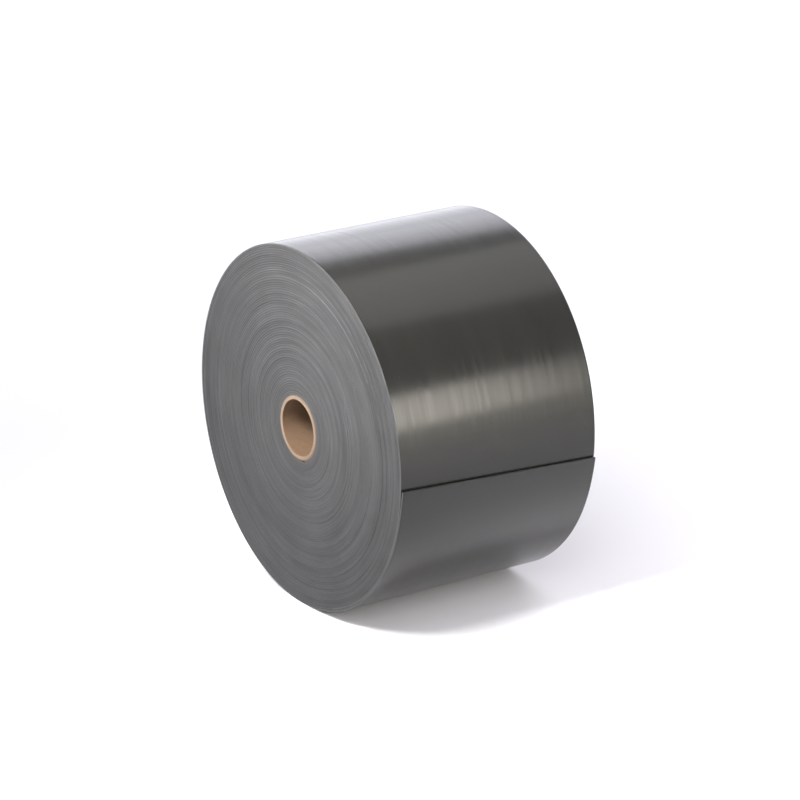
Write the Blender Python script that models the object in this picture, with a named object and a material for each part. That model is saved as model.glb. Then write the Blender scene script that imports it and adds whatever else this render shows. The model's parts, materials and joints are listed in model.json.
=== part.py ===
"""Roll of wide self-adhesive band on a spirally wound paper core.

Metres, +Z up. The roll lies on its curved side: its axis runs along Y at AXIS_HEIGHT, its front
face looks along -Y and its lowest facet rests on z = 0. Angles are in degrees in the XZ plane,
from +X towards +Z. The band is one spiral, so its angles are unwrapped: they fall by 360 for each
turn nearer the core, and seen from the front the band runs clockwise inwards from its free end.
"""
import math

import bmesh
import bpy

# Paper core: four strips of board, wound as helices with butted edges.
BORE_RADIUS = 0.0127
CORE_WALL = 0.00185
PLY_NAMES = ("core_inner_ply", "core_middle_ply_1", "core_middle_ply_2", "core_outer_ply")
PLY_GAP = 0.0001
PLY_SIDES = 32
BUTT_GAP = 0.0003
BUTT_STAGGER = 90.0

# Band: one layer is the strip itself and the clearance to the turn below it.
BAND_WIDTH = 0.100
PITCH = 0.0010
LAYER_GAP = 0.00015
SIDES = 64
FACET = 360.0 / SIDES

# Free end, cut slightly askew, and the line down to which it can be peeled off the roll.
FREE_END_ANGLE = -4.25
FREE_END_SKEW = 4.0
PEEL_ANGLE = -90.0 + 3.5 * FACET
TAIL_SEGMENTS = 6
FACETS_PER_SEGMENT = 2
SEGMENT_GAP = 0.0001
WHOLE_TURNS = 66

THICKNESS = PITCH - LAYER_GAP
CORE_RADIUS = BORE_RADIUS + CORE_WALL
START_ANGLE = PEEL_ANGLE - 360.0 * WHOLE_TURNS
OUTER_RADIUS = CORE_RADIUS + PITCH * (1.0 + (FREE_END_ANGLE - START_ANGLE) / 360.0)
FRONT = -BAND_WIDTH / 2
REAR = BAND_WIDTH / 2

# Base colour, roughness and metallic value of each kind of piece.
GRAPHITE_BAND = ((0.115, 0.115, 0.118), 0.38, 0.0)
PLY_BOARDS = {
    "core_inner_ply": ((0.36, 0.25, 0.16), 0.85, 0.0),
    "core_middle_ply_1": ((0.50, 0.40, 0.29), 0.90, 0.0),
    "core_middle_ply_2": ((0.54, 0.43, 0.31), 0.90, 0.0),
    "core_outer_ply": ((0.62, 0.50, 0.37), 0.85, 0.0),
}


def band_radius(angle):
    """Radius of the band's outer surface at an unwrapped angle."""
    return OUTER_RADIUS + PITCH * (angle - FREE_END_ANGLE) / 360.0


# The lowest point is the end of the bottom facet nearer the free end, which has more radius.
LOWEST_ANGLE = -90.0 + FACET / 2
AXIS_HEIGHT = band_radius(LOWEST_ANGLE) * math.cos(math.radians(FACET / 2))


def polar(radius, angle, y):
    """Point at a radius and an angle round the roll's axis."""
    turn = math.radians(angle)
    return (radius * math.cos(turn), y, AXIS_HEIGHT + radius * math.sin(turn))


def add_object(name, mesh, finish):
    """Link a mesh as a smooth-shaded object with a material of its own."""
    color, roughness, metallic = finish
    material = bpy.data.materials.new(name)
    material.use_nodes = True
    shader = material.node_tree.nodes["Principled BSDF"]
    shader.inputs["Base Color"].default_value = (*color, 1.0)
    shader.inputs["Roughness"].default_value = roughness
    shader.inputs["Metallic"].default_value = metallic
    mesh.materials.append(material)
    mesh.shade_smooth()
    mesh.set_sharp_from_angle(angle=math.radians(30))
    part = bpy.data.objects.new(name, mesh)
    bpy.context.scene.collection.objects.link(part)
    return part


def mesh_from_faces(name, faces):
    """Closed mesh from faces given as lists of points; points that coincide become one."""
    shape = bmesh.new()
    verts = {}
    for face in faces:
        ring = []
        for point in face:
            key = tuple(round(value, 8) for value in point)
            if key not in verts:
                verts[key] = shape.verts.new(point)
            if verts[key] not in ring:
                ring.append(verts[key])
        if len(ring) > 2:
            shape.faces.new(ring)
    bmesh.ops.recalc_face_normals(shape, faces=shape.faces)
    mesh = bpy.data.meshes.new(name)
    shape.to_mesh(mesh)
    shape.free()
    return mesh


def strip_faces(sections):
    """Faces of a solid strip whose cross-sections are four points each, with its two end caps."""
    faces = [sections[0], sections[-1]]
    for near, far in zip(sections, sections[1:]):
        for corner in range(4):
            after = (corner + 1) % 4
            faces.append([near[corner], near[after], far[after], far[corner]])
    return faces


def place_on_axis(part, pivot):
    """Move an object's origin to its hinge without moving its shape."""
    for vertex in part.data.vertices:
        vertex.co = [value - offset for value, offset in zip(vertex.co, pivot)]
    part.location = pivot


# ---------------------------------------------------------------- core
def core_ply(index):
    """One board strip: a helix whose edges meet in a butt joint, one turn in the core's length.

    The strip is unrolled over two turns. Its rear edge climbs from the front end of the core to
    the rear end in the first turn, and its front edge does the same in the second turn. Points
    between two sides lie on the flat facet, so the plies' facets stay parallel.
    """
    name = PLY_NAMES[index]
    count = len(PLY_NAMES)
    thickness = (CORE_WALL - PLY_GAP * (count - 1)) / count
    inner = BORE_RADIUS + index * (thickness + PLY_GAP)
    climb = BAND_WIDTH / PLY_SIDES
    first_angle = index * BUTT_STAGGER
    tip = BUTT_GAP / 2 / climb

    def section(side):
        low = int(math.floor(side))
        share = side - low
        rear = min(REAR, FRONT + climb * side - BUTT_GAP / 2)
        front = max(FRONT, FRONT + climb * (side - PLY_SIDES) + BUTT_GAP / 2)
        points = []
        for radius, y in ((inner + thickness, front), (inner + thickness, rear),
                          (inner, rear), (inner, front)):
            start = polar(radius, first_angle + low * 360.0 / PLY_SIDES, y)
            end = polar(radius, first_angle + (low + 1) * 360.0 / PLY_SIDES, y)
            points.append(tuple(a + (b - a) * share for a, b in zip(start, end)))
        return points

    sides = [tip, *range(1, 2 * PLY_SIDES), 2 * PLY_SIDES - tip]
    corners = [section(side) for side in sides]
    # The butt joint passes both ends of the core just beside the lines at one whole turn.
    for cut in (PLY_SIDES - tip, PLY_SIDES + tip):
        corners.append(section(cut))
        sides.append(cut)
    ordered = [corner for _, corner in sorted(zip(sides, corners), key=lambda pair: pair[0])]
    return add_object(name, mesh_from_faces(name, strip_faces(ordered)), PLY_BOARDS[name])


# ---------------------------------------------------------------- band
def band_section(front_angle, rear_angle):
    """Cross-section of the band on a line across its width."""
    outer_front = band_radius(front_angle)
    outer_rear = band_radius(rear_angle)
    return [
        polar(outer_front, front_angle, FRONT),
        polar(outer_rear, rear_angle, REAR),
        polar(outer_rear - THICKNESS, rear_angle, REAR),
        polar(outer_front - THICKNESS, front_angle, FRONT),
    ]


def band_piece(name, lines):
    """Stretch of band through lines given as pairs of angles at its front and rear edges."""
    sections = [band_section(front, rear) for front, rear in lines]
    return add_object(name, mesh_from_faces(name, strip_faces(sections)), GRAPHITE_BAND)


def whole_turn(name, first_angle):
    """One full turn of band, from first_angle inwards."""
    angles = [first_angle - FACET * step for step in range(SIDES + 1)]
    return band_piece(name, [(angle, angle) for angle in angles])


def wound_turns(name, first_angle, last_angle):
    """All the turns between two lines at the same place round the roll, as one pressed solid.

    Both its outside and its bore are spirals, so each has a step of one pitch on that line.
    """
    def corners(step, y):
        angle = first_angle - FACET * step
        bore = band_radius(last_angle + 360.0 - FACET * step) - THICKNESS
        return polar(band_radius(angle), angle, y), polar(bore, angle, y)

    faces = []
    for step in range(SIDES):
        outer_line = [corners(step, y)[0] for y in (FRONT, REAR)]
        bore_line = [corners(step, y)[1] for y in (FRONT, REAR)]
        next_outer = [corners(step + 1, y)[0] for y in (FRONT, REAR)]
        next_bore = [corners(step + 1, y)[1] for y in (FRONT, REAR)]
        faces.append([outer_line[0], outer_line[1], next_outer[1], next_outer[0]])
        faces.append([bore_line[0], bore_line[1], next_bore[1], next_bore[0]])
        for end in (0, 1):
            ring = [outer_line[end], next_outer[end], next_bore[end], bore_line[end]]
            if step == 0:
                ring.append(corners(SIDES, (FRONT, REAR)[end])[0])
            if step == SIDES - 1:
                ring.insert(2, corners(0, (FRONT, REAR)[end])[1])
            faces.append(ring)
    for side in (0, 1):
        high = [corners(0, y)[side] for y in (FRONT, REAR)]
        low = [corners(SIDES, y)[side] for y in (FRONT, REAR)]
        faces.append([high[0], high[1], low[1], low[0]])
    return add_object(name, mesh_from_faces(name, faces), GRAPHITE_BAND)


def tail_segment(number):
    """One rigid stretch of the loose tail; number 1 is at the peel line, the last is the end."""
    span = FACETS_PER_SEGMENT * FACET
    root = PEEL_ANGLE + (number - 1) * span
    clearance = math.degrees(SEGMENT_GAP / OUTER_RADIUS)
    lines = [(root + clearance, root + clearance)]
    for step in range(1, FACETS_PER_SEGMENT):
        lines.append((root + step * FACET, root + step * FACET))
    if number < TAIL_SEGMENTS:
        lines.append((root + span, root + span))
    else:
        lines.append((FREE_END_ANGLE + FREE_END_SKEW / 2, FREE_END_ANGLE - FREE_END_SKEW / 2))
    part = band_piece(f"tape_tail_{number}", lines)
    place_on_axis(part, polar(band_radius(root), root, 0.0))
    return part


for old in list(bpy.data.objects):
    bpy.data.objects.remove(old)
for ply in range(len(PLY_NAMES)):
    core_ply(ply)
whole_turn("tape_first_turn", START_ANGLE + 360.0)
wound_turns("tape_wound_turns", PEEL_ANGLE - 360.0, START_ANGLE + 360.0)
whole_turn("tape_last_turn", PEEL_ANGLE)
for segment in range(1, TAIL_SEGMENTS + 1):
    tail_segment(segment)
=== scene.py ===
"""Looks of a wide tape roll: a dark band wound as one spiral on a paper core made of four plies.

The roll's axis runs along Y. Places round it are angles in degrees in the XZ plane, from +X
towards +Z. Places along the band are counted in turns wound since its start on the core.
"""
import json
import math
import random

import bpy
import numpy as np
from mathutils import Matrix, Vector


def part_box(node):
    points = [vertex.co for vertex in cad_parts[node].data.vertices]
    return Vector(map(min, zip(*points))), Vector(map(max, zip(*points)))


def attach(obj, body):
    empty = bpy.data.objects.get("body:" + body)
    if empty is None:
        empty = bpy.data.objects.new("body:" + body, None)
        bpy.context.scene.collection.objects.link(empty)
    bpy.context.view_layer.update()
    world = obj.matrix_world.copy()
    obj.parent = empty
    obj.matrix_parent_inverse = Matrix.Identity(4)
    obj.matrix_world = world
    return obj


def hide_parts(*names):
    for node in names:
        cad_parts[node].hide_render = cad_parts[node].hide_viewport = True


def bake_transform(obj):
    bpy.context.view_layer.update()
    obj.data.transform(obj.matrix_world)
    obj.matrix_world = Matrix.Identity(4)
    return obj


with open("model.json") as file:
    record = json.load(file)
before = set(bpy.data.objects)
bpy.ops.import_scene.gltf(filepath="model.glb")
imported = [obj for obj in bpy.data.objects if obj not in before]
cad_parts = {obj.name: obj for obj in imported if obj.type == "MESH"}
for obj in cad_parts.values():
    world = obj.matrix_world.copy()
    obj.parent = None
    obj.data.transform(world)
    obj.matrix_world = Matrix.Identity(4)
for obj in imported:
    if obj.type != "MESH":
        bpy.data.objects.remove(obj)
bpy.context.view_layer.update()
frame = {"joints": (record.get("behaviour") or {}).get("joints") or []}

# ---------------------------------------------------------------- sizes
WHOLE_TURNS = 66              # turns from the band's start to the line where its tail leaves
CORE_WALL = 0.00185
PLY_NODES = ("core_inner_ply", "core_middle_ply_1", "core_middle_ply_2", "core_outer_ply")
PLY_GAP = 0.00004
PLY_STEPS = 128
BUTT_GAP = 0.00025
BUTT_STAGGER = 90.0
FREE_END_ANGLE = -4.25        # the band's cut end, at mid width
FREE_END_SKEW = 4.0           # its front corner lies this far past its rear corner
FREE_END_LIFT = 0.0006        # how far it stands off the layer below, more at its front corner
TURN_STEPS = 144              # mesh steps in each wound turn
STRIP_STEP = 0.6              # degrees between sections of the last turn and the tail
EDGE_ROUND = 0.00013          # rounding of the band's slit edges
GROOVE_DEPTH = 0.00010        # between the rounded edges of neighbouring layers
LAST_TURN_PROUD = 0.00006     # how far the last turn's edges stand out of the faces
TONGUE_TURN = 0.0008          # how far a stretch of the tail reaches inside the next one, in turns
TONGUE_INSET = 0.00002        # and how far below its surface

core_low, core_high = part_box("core_outer_ply")
AXIS = (core_low.z + core_high.z) / 2
CORE_RADIUS = (core_high.x - core_low.x) / 2
FRONT, REAR = core_low.y, core_high.y
WIDTH = REAR - FRONT
JOINTS = {joint["name"]: joint for joint in frame["joints"]}


def joint_place(name):
    """Radius and angle of a joint's axis round the roll."""
    x, _, z = JOINTS[name]["pos_m"]
    return math.hypot(x, z - AXIS), math.degrees(math.atan2(z - AXIS, x))


PEEL_RADIUS, PEEL_ANGLE = joint_place("tail_peel")
PITCH = (PEEL_RADIUS - CORE_RADIUS) / (WHOLE_TURNS + 1)
THICKNESS = 0.95 * PITCH
SEGMENT_TURN = (joint_place("tail_bend_2")[1] - PEEL_ANGLE) / 360.0
FREE_END_TURN = WHOLE_TURNS + (FREE_END_ANGLE - PEEL_ANGLE) / 360.0
MEAN_RADIUS = PEEL_RADIUS - PITCH / 4


def climb(turn):
    """Layers between the core and a place on the band.

    Near the core each turn lies round and climbs only at its end, over the band's blunt start.
    Further out that bump has spread over the whole turn, and the band is an even spiral.
    """
    whole = np.floor(turn)
    return whole + (turn - whole) ** (1.0 + 59.0 * np.exp(-whole / 2.5))


def angle_at(turn):
    """Angle round the roll of a place on the band."""
    return PEEL_ANGLE + 360.0 * (turn - WHOLE_TURNS)


def metres_along(turn):
    """Length of the band from its start on the core."""
    return 2 * math.pi * (CORE_RADIUS * turn + PITCH * turn * turn / 2)


def round_axis(radius, degrees, y):
    """Points at arrays of radii and angles round the roll's axis."""
    radius, degrees, y = np.broadcast_arrays(radius, degrees, y)
    turn = np.radians(degrees)
    return np.stack([radius * np.cos(turn), y, AXIS + radius * np.sin(turn)], axis=-1)


# Each layer's edges stray a little along the axis, as the winding machine leaves them.
dice = random.Random(7)
STRAYS = np.array([(dice.gauss(0.0, 0.00007), dice.uniform(0.0, 0.00006),
                    dice.uniform(0.0, 2 * math.pi), dice.choice((1, 2, 3)))
                   for _ in range(WHOLE_TURNS + 3)])
GROOVES = np.array([dice.uniform(0.5, 1.3) for _ in range(WHOLE_TURNS + 3)])


def edge_stray(turn):
    """How far along the axis the band lies off true, easing from one layer to the next."""
    whole = np.floor(turn).astype(int)
    share = turn - whole
    ease = share * share * (3 - 2 * share)

    def layer(index):
        shift, wave, phase, count = np.moveaxis(STRAYS[index], -1, 0)
        return shift + wave * np.sin(2 * math.pi * count * share + phase)

    return layer(whole) * (1 - ease) + layer(whole + 1) * ease


# ---------------------------------------------------------------- meshes
def add_mesh(name, points, faces, materials, face_materials=None, along=None, across=None):
    """Smooth-shaded object with its materials and places for their patterns.

    along holds each point's (metres along the band, y, 0 in a groove and 1 elsewhere, which places
    the painted shade in the grooves), and across its (x, z, layers from the core).
    """
    mesh = bpy.data.meshes.new(name)
    mesh.from_pydata(np.reshape(points, (-1, 3)).tolist(), [], faces)
    for label, values in (("along", along), ("across", across)):
        if values is not None:
            layer = mesh.attributes.new(label, "FLOAT_VECTOR", "POINT")
            layer.data.foreach_set("vector", np.asarray(values, np.float32).ravel())
    for finish in materials:
        mesh.materials.append(finish)
    if face_materials is not None:
        mesh.polygons.foreach_set("material_index", face_materials)
    mesh.shade_smooth()
    mesh.set_sharp_from_angle(angle=math.radians(50))
    piece = bpy.data.objects.new(name, mesh)
    bpy.context.scene.collection.objects.link(piece)
    return piece


def strip_faces(sections, around):
    """Faces of a solid strip with `around` points in each section, and its two end caps."""
    faces = []
    for near in range(0, (sections - 1) * around, around):
        for corner in range(around):
            after = (corner + 1) % around
            faces.append((near + corner, near + after, near + around + after,
                          near + around + corner))
    last = (sections - 1) * around
    faces.append(tuple(reversed(range(around))))
    faces.append(tuple(range(last, last + around)))
    return faces


def band_profile(across):
    """The band's section as (y, depth below its outer surface), and how many points are outer."""
    turns = [math.radians(30.0 * step) for step in range(4)]
    front = [(FRONT + EDGE_ROUND * (1 - math.cos(turn)), EDGE_ROUND * (1 - math.sin(turn)))
             for turn in turns]
    rear = [(-y, depth) for y, depth in reversed(front)]
    middle = [(FRONT + WIDTH * step / across, 0.0) for step in range(1, across)]
    under = [(y, THICKNESS - depth) for y, depth in reversed(front + rear)]
    return np.array(front + middle + rear + under), len(front + middle + rear)


def ripple(y):
    """Fine ridges along the band, a few thousandths of a millimetre high."""
    ridges = random.Random(3)
    total = np.zeros_like(y)
    for _ in range(14):
        wave, phase = ridges.uniform(0.0016, 0.009), ridges.uniform(0, 2 * math.pi)
        total += wave * np.sin(2 * math.pi * y / wave + phase)
    return total * 0.00012


def band_strip(name, first_turn, last_turn, tongue=False):
    """Solid stretch of the band between two places, as thick as the real one.

    If it runs to the free end, it is cut askew there and lifts slightly off the layer below. A
    tongue at its end is hidden inside the next stretch, so that no slit shows where they meet.
    """
    profile, outer_count = band_profile(120)
    count = int(math.ceil((last_turn - first_turn) * 360.0 / STRIP_STEP)) + 1
    turn = np.linspace(first_turn, last_turn, count)
    inset = np.zeros(count)
    if tongue:
        turn = np.append(turn, (last_turn, last_turn + TONGUE_TURN))
        inset = np.append(inset, (TONGUE_INSET, TONGUE_INSET))
        count += 2
    turn, inset = turn[:, None], inset[:, None]
    outer = profile[:, 1] == 0.0
    y = profile[:, 0] - inset * np.sign(profile[:, 0])
    depth = profile[:, 1] * (1.0 - 2.0 * inset / THICKNESS) + inset
    free = np.linspace(0.0, 1.0, count)[:, None] * (last_turn >= FREE_END_TURN)
    degrees = angle_at(turn) - free * FREE_END_SKEW * (y / WIDTH)
    lift = FREE_END_LIFT * free ** 3 * (1.0 - 0.35 * y / REAR)
    radius = CORE_RADIUS + PITCH * (climb(turn) + 1.0) - depth + lift
    radius = radius + np.where(outer, ripple(y), 0.0)
    near_edge = np.abs(y / REAR) ** 30
    sideways = y + near_edge * (edge_stray(turn) + LAST_TURN_PROUD * np.sign(y))
    points = round_axis(radius, degrees, sideways)
    shape = radius.shape
    along = np.stack(np.broadcast_arrays(metres_along(turn), y, np.ones(shape)), axis=-1)
    layers = (radius - CORE_RADIUS) / PITCH
    across = np.stack([points[..., 0], points[..., 2], layers], axis=-1)
    around = len(profile)
    # Material 0 is the outer and inner surface, 1 the slit edges, painted lighter as a painted
    # highlight along the rim, and 2 the cut ends.
    ring = np.zeros(around, int)
    ring[:2] = ring[outer_count - 3:outer_count + 2] = ring[-3:] = 1
    kinds = np.concatenate([np.tile(ring, count - 1), [2, 2]])
    return add_mesh(name, points, strip_faces(count, around),
                    (band_surface, last_edge_painted_highlight, cut_end), kinds, along, across)


def wound_turns(name):
    """All the turns under the last one, pressed into one solid.

    Each face is one spiral ridge per layer, from the core out, with a groove on either side.
    """
    turns = WHOLE_TURNS - 1
    total = turns * TURN_STEPS
    groove_turn = np.arange(total + TURN_STEPS + 1) / TURN_STEPS
    ridge_turn = groove_turn[:total + 1]
    groove_layer = climb(groove_turn)
    inner, outer = groove_layer[:total + 1], groove_layer[TURN_STEPS:]
    share = np.array([0.14, 0.5, 0.86])
    ridge_layer = inner[:, None] + (outer - inner)[:, None] * share
    ridge_drop = GROOVE_DEPTH * np.array([0.1, 0.2, 0.9])

    def groove_depth(turn):
        return GROOVE_DEPTH * np.interp(turn, np.arange(len(GROOVES)), GROOVES)

    points, along, across, sides = [], [], [], []
    for side in (-1, 1):
        groove_y = side * (REAR - groove_depth(groove_turn)) + edge_stray(groove_turn)
        ridge_y = (side * (REAR - ridge_drop))[None, :] + edge_stray(ridge_turn)[:, None]
        first = sum(len(part) for part in points)
        for open_face, layer, turn, y in ((0.0, groove_layer, groove_turn, groove_y),
                                          (1.0, ridge_layer, ridge_turn[:, None], ridge_y)):
            radius = CORE_RADIUS + 0.00002 + PITCH * layer
            spots = round_axis(radius, angle_at(turn), y).reshape(-1, 3)
            points.append(spots)
            along.append(np.tile((0.0, 0.0, open_face), (len(spots), 1)))
            across.append(np.stack([spots[:, 0], spots[:, 2], layer.ravel()], axis=-1))
        sides.append((first, first + len(groove_turn)))

    def corner(side, step, place):
        """Index of a point: place 0 is the groove below a ridge, 1 to 3 the ridge, 4 above."""
        groove, ridge = sides[side]
        if place == 0:
            return groove + step
        if place == 4:
            return groove + step + TURN_STEPS
        return ridge + 3 * step + place - 1

    faces = []
    for step in range(total):
        for place in range(4):
            for side in (0, 1):
                a, b = corner(side, step, place), corner(side, step, place + 1)
                c, d = corner(side, step + 1, place + 1), corner(side, step + 1, place)
                faces.append((a, b, c, d) if side == 0 else (a, d, c, b))
    kinds = [1] * len(faces)
    front, rear = sides[0][0], sides[1][0]
    for step in range(TURN_STEPS):
        near, far = front + step, rear + step
        faces.append((near, near + 1, far + 1, far))
        near, far = near + total, far + total
        faces.append((near, far, far + 1, near + 1))
    for place in range(4):
        near, far = corner(0, 0, place), corner(1, 0, place)
        faces.append((near, far, corner(1, 0, place + 1), corner(0, 0, place + 1)))
        near, far = corner(0, total, place), corner(1, total, place)
        faces.append((near, corner(0, total, place + 1), corner(1, total, place + 1), far))
    kinds += [0] * (len(faces) - len(kinds))
    return add_mesh(name, np.concatenate(points), faces, (band_surface, slit_edge), kinds,
                    np.concatenate(along), np.concatenate(across))


def core_ply(node, index):
    """One board strip of the core: a helix with a butt joint, one turn in the core's length.

    Unrolled over two turns, its rear edge climbs from the front end to the rear end in the first
    turn and its front edge does the same in the second.
    """
    count = len(PLY_NODES)
    thickness = (CORE_WALL - PLY_GAP * (count - 1)) / count
    inner = CORE_RADIUS - CORE_WALL + index * (thickness + PLY_GAP)
    step_climb = WIDTH / PLY_STEPS
    tip = BUTT_GAP / step_climb
    steps = np.array(sorted([tip, *range(1, 2 * PLY_STEPS), 2 * PLY_STEPS - tip,
                             PLY_STEPS - tip / 2, PLY_STEPS + tip / 2]))
    rear = np.minimum(REAR, FRONT + step_climb * steps - BUTT_GAP / 2)
    front = np.maximum(FRONT, FRONT + step_climb * (steps - PLY_STEPS) + BUTT_GAP / 2)
    radii = np.array([inner + thickness, inner + thickness, inner, inner])
    y = np.stack([front, rear, rear, front], axis=1)
    degrees = index * BUTT_STAGGER + steps[:, None] * 360.0 / PLY_STEPS
    points = round_axis(radii, degrees, y)
    # The strip's own length and breadth, so that the board's grain follows its helix.
    around = math.radians(1.0) * degrees * inner
    slope = math.atan2(WIDTH, 2 * math.pi * inner)
    length = around * math.cos(slope) + y * math.sin(slope)
    breadth = y * math.cos(slope) - around * math.sin(slope)
    along = np.stack([length, breadth, np.broadcast_to(radii, y.shape)], axis=-1)
    kinds = np.zeros(4 * (len(steps) - 1) + 2, int)
    for part in range(len(steps) - 1):
        at_front = front[part] <= FRONT and front[part + 1] <= FRONT
        at_rear = rear[part] >= REAR and rear[part + 1] >= REAR
        kinds[4 * part + 3], kinds[4 * part + 1] = at_front, at_rear
    finish = PLY_FINISHES[node]
    piece = add_mesh(node.replace("core", "board"), points, strip_faces(len(steps), 4),
                     (finish, outer_end if index == 3 else board_end), kinds, along)
    bevel = piece.modifiers.new("worn_edges", "BEVEL")
    bevel.width, bevel.segments = 0.00006, 2
    bevel.limit_method, bevel.angle_limit = "ANGLE", math.radians(50)
    return piece


# ---------------------------------------------------------------- finishes
class Finish:
    """A material's node tree, with one shader whose sockets are set or linked by name."""

    def __init__(self, name):
        self.material = bpy.data.materials.new(name)
        self.material.use_nodes = True
        self.tree = self.material.node_tree
        self.shader = self.tree.nodes["Principled BSDF"]

    def add(self, kind, inputs=(), **settings):
        """A node; an input is a number, a colour or another node's output."""
        node = self.tree.nodes.new(kind)
        for key, value in settings.items():
            setattr(node, key, value)
        for key, value in dict(inputs).items():
            self.put(node, key, value)
        return node

    def put(self, node, key, value):
        if isinstance(value, bpy.types.NodeSocket):
            self.tree.links.new(value, node.inputs[key])
        else:
            node.inputs[key].default_value = value

    def place(self, label, scale, shift=(0.0, 0.0, 0.0)):
        """The places stored on a mesh, scaled so that one unit is one feature of a pattern."""
        stored = self.add("ShaderNodeAttribute", attribute_name=label)
        return self.add("ShaderNodeMapping", {"Vector": stored.outputs["Vector"], "Scale": scale,
                                              "Location": shift}).outputs["Vector"]

    def noise(self, where, detail=3.0, rough=0.55, scale=1.0):
        return self.add("ShaderNodeTexNoise", {"Vector": where, "Scale": scale, "Detail": detail,
                                               "Roughness": rough}).outputs["Fac"]

    def span(self, value, low, high, from_low=0.3, from_high=0.7):
        """A value carried from one range to another, clamped."""
        return self.add("ShaderNodeMapRange", {"Value": value, "From Min": from_low,
                                               "From Max": from_high, "To Min": low,
                                               "To Max": high}).outputs["Result"]

    def math(self, operation, a, b):
        return self.add("ShaderNodeMath", {0: a, 1: b}, operation=operation).outputs[0]

    def mean(self, a, b, share):
        """Weighted mean of two values, with `share` of the first."""
        return self.math("ADD", self.math("MULTIPLY", a, share),
                         self.math("MULTIPLY", b, 1.0 - share))

    def mix(self, share, a, b):
        node = self.add("ShaderNodeMix", data_type="RGBA")
        for key, value in ((0, share), (6, a), (7, b)):
            self.put(node, key, value)
        return node.outputs[2]

    def bump(self, height, distance, strength=1.0):
        node = self.add("ShaderNodeBump", {"Height": height, "Distance": distance,
                                           "Strength": strength})
        self.put(self.shader, "Normal", node.outputs["Normal"])

    def done(self, **sockets):
        for key, value in sockets.items():
            self.put(self.shader, key.replace("_", " ").title().replace("Ior", "IOR"), value)
        return self.material


def grey(value, warm=0.0):
    """Grey colour, a little redder and less blue if it is warm."""
    return (value * (1 + warm), value, value * (1 - warm), 1.0)


def make_band_surface():
    """Dark smooth plastic with fine streaks along the band and faint cloudiness."""
    f = Finish("band_surface")
    streaks = f.noise(f.place("along", (22.0, 850.0, 0.0)), detail=4.0, rough=0.6)
    broad = f.noise(f.place("along", (7.0, 160.0, 0.0), (3.1, 1.7, 0.0)), detail=2.0)
    specks = f.noise(f.place("along", (900.0, 900.0, 0.0), (0.0, 5.3, 2.0)), detail=2.0)
    tone = f.mean(streaks, broad, 0.6)
    colour = f.mix(f.span(tone, 0.0, 1.0, 0.38, 0.62), (0.0105, 0.0103, 0.0086, 1.0),
                   (0.0135, 0.0132, 0.0113, 1.0))
    dust = f.span(specks, 0.0, 0.35, 0.70, 0.80)
    colour = f.mix(dust, colour, grey(0.07, 0.02))
    rough = f.span(f.mean(streaks, broad, 0.75), 0.165, 0.26, 0.36, 0.64)
    f.bump(broad, 0.000004)
    return f.done(base_color=colour, roughness=rough)


def make_slit_edge(name, dark, light):
    """The band's slit edges: matt, each layer a little lighter or darker than the next; grooves in
    painted shade.
    """
    f = Finish(name)
    rings = f.noise(f.place("across", (9.0, 9.0, 0.45)), detail=3.0, rough=0.75)
    fine = f.noise(f.place("across", (60.0, 60.0, 2.3), (0.0, 0.0, 9.0)), detail=2.0)
    clouds = f.noise(f.place("across", (45.0, 45.0, 0.12), (3.0, 0.0, 0.0)), detail=5.0)
    grain = f.noise(f.place("across", (2500.0, 2500.0, 0.0)), detail=2.0)
    tone = f.mean(f.mean(rings, fine, 0.8), clouds, 0.65)
    colour = f.mix(f.span(tone, 0.0, 1.0, 0.36, 0.64), grey(dark), grey(light))
    colour = f.mix(f.span(grain, 0.0, 0.3, 0.4, 0.7), colour, grey(1.3 * light, 0.01))
    # Painted shade: faces in a groove between layers are darkened towards half the darkest tone.
    stored = f.add("ShaderNodeAttribute", attribute_name="along")
    open_face = f.add("ShaderNodeSeparateXYZ", {0: stored.outputs["Vector"]}).outputs["Z"]
    colour = f.mix(f.span(open_face, 1.0, 0.0, 0.15, 0.6), colour, grey(0.5 * dark))
    f.bump(grain, 0.00003, 0.6)
    return f.done(base_color=colour, roughness=f.span(fine, 0.66, 0.80), specular_ior_level=0.3)


def make_cut_end():
    """The free end's cut: darker than the slit edges and slightly torn."""
    f = Finish("cut_end")
    grain = f.noise(f.place("along", (800.0, 1600.0, 0.0)), detail=3.0)
    f.bump(grain, 0.00005)
    return f.done(base_color=f.mix(grain, grey(0.004), grey(0.012)), roughness=0.7)


def make_board(name, dark, light, shift):
    """Brown board with long fibres that follow the strip."""
    f = Finish(name)
    fibres = f.noise(f.place("along", (260.0, 3200.0, 900.0), (shift, 0.0, 0.0)), detail=5.0,
                     rough=0.7)
    clouds = f.noise(f.place("along", (70.0, 160.0, 40.0), (shift, 2.0, 0.0)), detail=3.0)
    flecks = f.noise(f.place("along", (900.0, 5200.0, 900.0), (0.0, shift, 4.0)), detail=2.0)
    tone = f.mean(fibres, clouds, 0.55)
    colour = f.mix(f.span(tone, 0.0, 1.0, 0.34, 0.66), dark, light)
    colour = f.mix(f.span(flecks, 0.0, 0.45, 0.62, 0.78), colour, tuple(0.45 * c for c in dark))
    f.bump(fibres, 0.00006)
    return f.done(base_color=colour, roughness=f.span(fibres, 0.74, 0.92))


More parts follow.
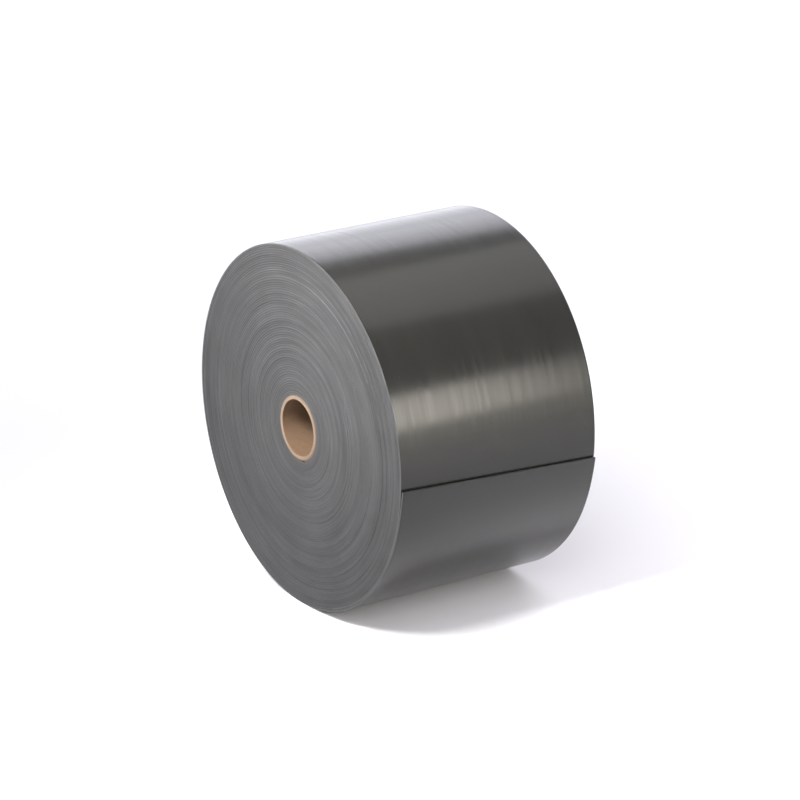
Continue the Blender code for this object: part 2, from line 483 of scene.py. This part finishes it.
PAPER_DARK, PAPER_LIGHT = (0.098, 0.056, 0.029, 1.0), (0.162, 0.097, 0.053, 1.0)
BOARD_DARK, BOARD_LIGHT = (0.18, 0.118, 0.075, 1.0), (0.26, 0.180, 0.120, 1.0)
END_DARK, END_LIGHT = (0.19, 0.134, 0.092, 1.0), (0.27, 0.203, 0.148, 1.0)
band_surface = make_band_surface()
slit_edge = make_slit_edge("slit_edge", 0.036, 0.074)
# The last turn's and the tail's slit edges are painted lighter than the wound turns' edges: a
# painted highlight for the light line along the rim.
last_edge_painted_highlight = make_slit_edge("last_slit_edge_painted_highlight", 0.058, 0.09)
cut_end = make_cut_end()
board_end = make_board("board_end", END_DARK, END_LIGHT, 5.0)
outer_end = make_board("outer_board_end", PAPER_DARK, PAPER_LIGHT, 6.0)
board_middle = make_board("board_middle", BOARD_DARK, BOARD_LIGHT, 3.0)
PLY_FINISHES = {
    "core_inner_ply": make_board("kraft_liner", PAPER_DARK, PAPER_LIGHT, 0.0),
    "core_middle_ply_1": board_middle,
    "core_middle_ply_2": board_middle,
    "core_outer_ply": make_board("board_outer", BOARD_DARK, END_LIGHT, 8.0),
}

# ---------------------------------------------------------------- the object
for index, node in enumerate(PLY_NODES):
    ply = core_ply(node, index)
    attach(ply, "roll")
    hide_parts(node)

turns = wound_turns("band_wound_turns")
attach(turns, "roll")
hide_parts("tape_first_turn", "tape_wound_turns")

last_turn = band_strip("band_last_turn", WHOLE_TURNS - 1, WHOLE_TURNS - SEGMENT_TURN / 2)
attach(last_turn, "roll")
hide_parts("tape_last_turn")


def surface_point(turn):
    """Point on the band's outer surface at mid width."""
    return Vector(round_axis(CORE_RADIUS + PITCH * (turn + 1.0), angle_at(turn), 0.0).tolist())


# Each stretch of the tail runs from the middle of one segment to that of the next. BLEND_PARTS
# holds the part of a blend's run from 0 to 1 meant for each stretch, so that where two stretches
# meet they would stay in line when the tail is peeled; here each run's start and length are
# worked out but not used.
BLEND_PARTS = ((0.0, 0.634), (0.42, 0.706), (0.294, 0.678), (0.322, 0.684), (0.316, 0.683),
               (0.317, 0.683))
TAIL_STRETCHES = len(BLEND_PARTS)
for number, (low, high) in enumerate(BLEND_PARTS, 1):
    start = WHOLE_TURNS + SEGMENT_TURN * (number - 1.5)
    middle = start + SEGMENT_TURN
    end = FREE_END_TURN if number == TAIL_STRETCHES else middle
    strip = band_strip(f"band_tail_{number}", start, end, tongue=number < TAIL_STRETCHES)
    whole_run = (surface_point(middle) - surface_point(start)) / (high - low)
    run_start = surface_point(start) - low * whole_run
    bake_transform(strip)
    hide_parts(f"tape_tail_{number}")

# ---------------------------------------------------------------- studio
FLOOR_RADIUS = 1.35
FLOOR_SIDES = 96
rim = [2 * math.pi * side / FLOOR_SIDES for side in range(FLOOR_SIDES)]
floor_mesh = bpy.data.meshes.new("floor")
floor_mesh.from_pydata([(FLOOR_RADIUS * math.cos(turn), FLOOR_RADIUS * math.sin(turn), 0.0)
                        for turn in rim], [], [tuple(range(FLOOR_SIDES))])
floor = bpy.data.objects.new("floor", floor_mesh)
bpy.context.scene.collection.objects.link(floor)
white = Finish("floor_white")
floor_mesh.materials.append(white.done(base_color=(0.855, 0.85, 0.88, 1.0), roughness=0.9))


def panel(name, centre, target, width, height, radiance, tint=(1.0, 1.0, 1.0), beam=180.0):
    """Softbox of an even brightness that faces a target and that the camera doesn't see.

    beam is the full angle in degrees of the light it gives, as a honeycomb grid narrows it.
    """
    lamp = bpy.data.lights.new(name, "AREA")
    lamp.shape, lamp.size, lamp.size_y = "RECTANGLE", width, height
    lamp.energy = radiance * math.pi * width * height
    lamp.color = tint
    lamp.spread = math.radians(beam)
    light = bpy.data.objects.new(name, lamp)
    bpy.context.scene.collection.objects.link(light)
    light.location = centre
    aim = Vector(target) - Vector(centre)
    light.rotation_euler = aim.to_track_quat("-Z", "Y").to_euler()
    light.visible_camera = False


# The curved side mirrors the backdrop, the overhead and the right-hand softboxes. The near one
# lights the top of the front face, and the high, side and floor ones light the floor.
MIDDLE = (0.0, 0.0, AXIS)
COOL, WARM = (0.95, 0.96, 1.05), (1.06, 1.01, 0.90)
panel("backdrop", (-1.05, 0.80, 0.30), (0.0, 0.0, 0.30), 1.6, 0.6, 1.75, COOL)
panel("backdrop_top", (-1.05, 0.80, 0.90), (0.0, 0.0, 0.90), 1.6, 0.6, 2.6, COOL)
panel("overhead", (-0.05, 0.78, 1.28), MIDDLE, 0.9, 0.8, 1.1)
panel("right_softbox", (1.07, 0.41, 0.42), MIDDLE, 0.5, 0.37, 8.5, WARM)
panel("right_low", (1.30, 0.50, 0.13), (0.0, 0.0, 0.13), 0.9, 0.26, 1.7, WARM)
panel("high_softbox", (0.3, -0.9, 1.7), MIDDLE, 2.2, 1.4, 2.0)
panel("near_softbox", (0.07, -0.30, 0.42), (0.01, -0.05, 0.16), 0.2, 0.15, 4.1, beam=36.0)
panel("floor_softbox", (0.45, 0.25, 1.0), (0.42, 0.22, 0.0), 0.3, 0.2, 1.0, beam=36.0)
panel("side_softbox", (1.2, -0.7, 0.8), MIDDLE, 0.9, 0.9, 4.1)

world = bpy.data.worlds.new("studio")
bpy.context.scene.world = world
world.use_nodes = True
sky = world.node_tree
# The camera sees a white world, which lights and mirrors as a soft grey.
grey_sky = sky.nodes["Background"]
grey_sky.inputs["Color"].default_value = (0.98, 0.96, 1.03, 1.0)
grey_sky.inputs["Strength"].default_value = 0.40
white_sky = sky.nodes.new("ShaderNodeBackground")
white_sky.inputs["Color"].default_value = (1.0, 1.0, 1.0, 1.0)
rays = sky.nodes.new("ShaderNodeLightPath")
choice = sky.nodes.new("ShaderNodeMixShader")
sky.links.new(rays.outputs["Is Camera Ray"], choice.inputs[0])
sky.links.new(grey_sky.outputs[0], choice.inputs[1])
sky.links.new(white_sky.outputs[0], choice.inputs[2])
sky.links.new(choice.outputs[0], sky.nodes["World Output"].inputs["Surface"])
bpy.context.scene.view_settings.view_transform = "Standard"

# ---------------------------------------------------------------- camera
CAMERA_AZIMUTH, CAMERA_ELEVATION = math.radians(56.42), math.radians(20.10)
turn_cos, turn_sin = math.cos(CAMERA_AZIMUTH), math.sin(CAMERA_AZIMUTH)
rise_cos, rise_sin = math.cos(CAMERA_ELEVATION), math.sin(CAMERA_ELEVATION)
back = Vector((turn_sin * rise_cos, -turn_cos * rise_cos, rise_sin))
right = Vector((turn_cos, turn_sin, 0.0))
up = Vector((-turn_sin * rise_sin, turn_cos * rise_sin, rise_cos))
lens = bpy.data.cameras.new("camera")
lens.sensor_width, lens.lens = 36.0, 166.26
lens.clip_start, lens.clip_end = 0.05, 50.0
camera = bpy.data.objects.new("camera", lens)
bpy.context.scene.collection.objects.link(camera)
camera.matrix_world = Matrix((right, up, back)).transposed().to_4x4()
camera.location = (Vector(MIDDLE) + back * 20.0 * MEAN_RADIUS
                   + right * 0.0318 * MEAN_RADIUS + up * 0.0316 * MEAN_RADIUS)
bpy.context.scene.camera = camera
